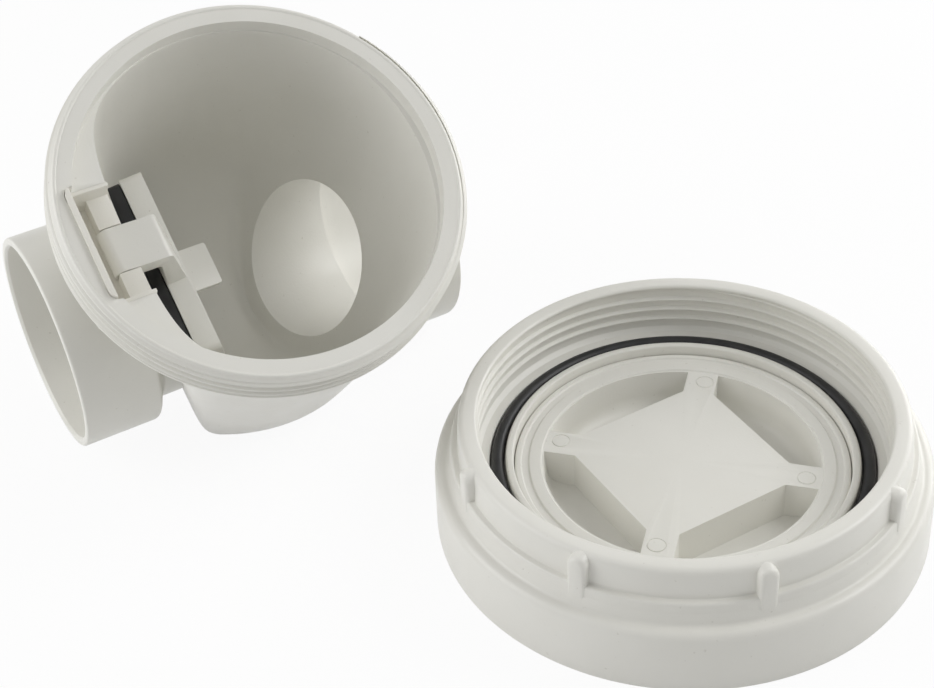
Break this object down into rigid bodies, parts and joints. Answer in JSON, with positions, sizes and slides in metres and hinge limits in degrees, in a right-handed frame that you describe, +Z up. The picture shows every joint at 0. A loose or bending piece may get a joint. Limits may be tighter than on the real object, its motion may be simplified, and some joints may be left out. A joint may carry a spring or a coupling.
{
  "type": "backwater valve",
  "caption": "Backwater valve for a drain pipe: keeled chamber with pipe sockets and a hinged flap, and its threaded lid with an inspection plug lying open beside it.",
  "frame": {"origin": "on the floor at the middle of the chamber's lower sloping side, on which the valve body lies", "axes": "+X along the flow from inlet to outlet, +Z up, +Y away from the opening's lean"},
  "size_m": [0.3903, 0.445, 0.2305],
  "materials": {
    "pvc_white": "satin moulded PVC",
    "hinge_cream": "moulded",
    "rubber_black": "smooth",
    "pin_steel": "plain"
  },
  "bodies": {
    "valve": {"valve_body": "pvc_white", "hinge_carrier": "hinge_cream", "hinge_pin": "pin_steel"},
    "flap_unit": {"flap": "pvc_white", "flap_seal": "rubber_black"},
    "lid_unit": {"lid": "pvc_white", "lid_seal": "rubber_black"},
    "plug_carriage": {"plug_seal": "rubber_black"},
    "plug_unit": {"inspection_plug": "pvc_white"}
  },
  "joints": [
    {"name": "flap_swing", "type": "hinge", "parent": "valve", "child": "flap_unit", "pos_m": [-0.0775, -0.03159, 0.14936], "axis": [0, -0.8226, -0.5686], "range_deg": [0, 60]},
    {"name": "lid_lift", "type": "slide", "parent": "valve", "child": "lid_unit", "axis": [0, 0, 1], "range_m": [0, 0.045]},
    {"name": "plug_travel", "type": "slide", "parent": "lid_unit", "child": "plug_carriage", "axis": [0, 0, -1], "range_m": [0, 0.0062]},
    {"name": "plug_turn", "type": "hinge", "parent": "plug_carriage", "child": "plug_unit", "pos_m": [0.1473, -0.2068, 0], "axis": [0, 0, -1], "range_deg": [0, 360]}
  ],
  "couplings": [
    {"joint": "plug_travel", "follows": "plug_turn", "m_per_rad": 0.00095493}
  ]
}
